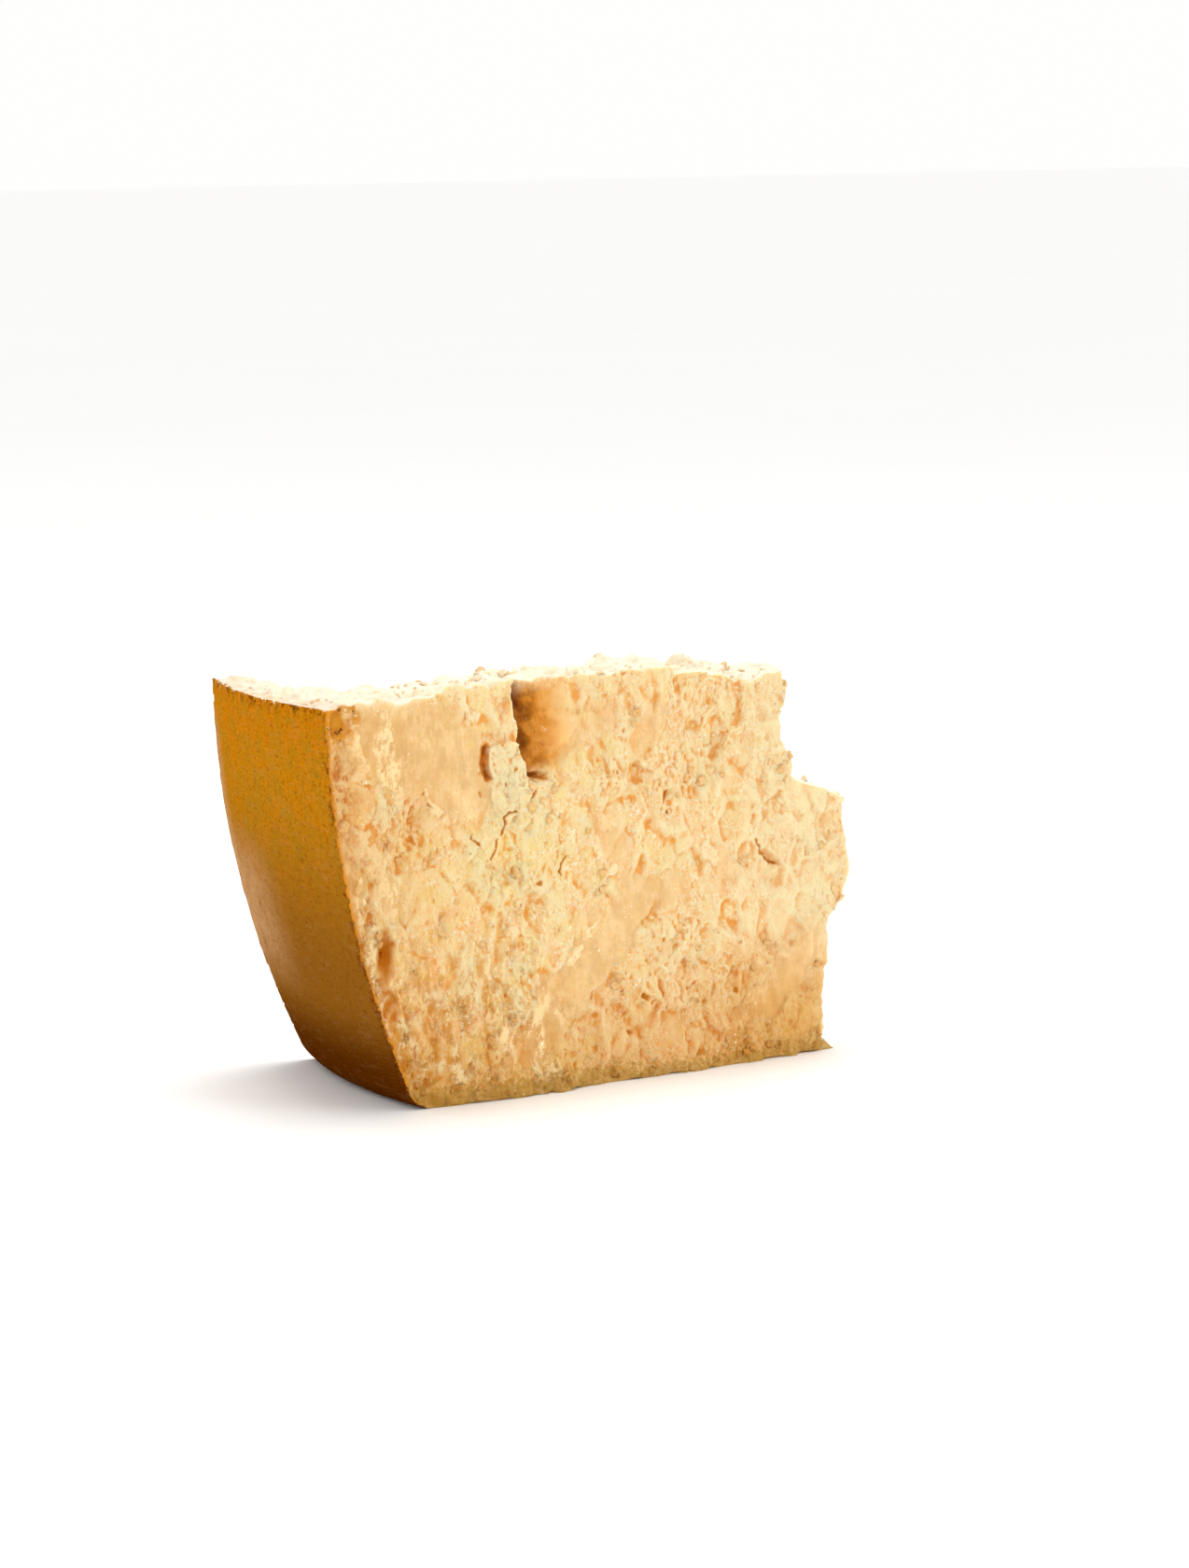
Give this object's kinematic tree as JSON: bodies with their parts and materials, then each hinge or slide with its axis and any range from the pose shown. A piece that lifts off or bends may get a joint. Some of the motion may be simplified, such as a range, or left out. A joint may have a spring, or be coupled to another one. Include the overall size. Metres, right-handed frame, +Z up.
{
  "type": "parmesan wedge",
  "caption": "Hand-broken wedge of aged hard cheese with a bowed golden rind and flaky, crumbly faces, standing on its flat rind.",
  "frame": {"origin": "centre of the wedge's box, on the surface it stands on", "axes": "+X from the curved rind to the thin end, +Z up, and the broken face that the knife opened faces -Y"},
  "size_m": [0.1955, 0.1003, 0.1277],
  "materials": {
    "cheese": "aged hard cheese: pale straw-gold flaky paste, slightly waxy and translucent, with whitish crystals and orange pits; golden-brown satin rind with a fine cloth weave"
  },
  "bodies": {
    "root": {"wedge": "cheese"}
  },
  "joints": []
}
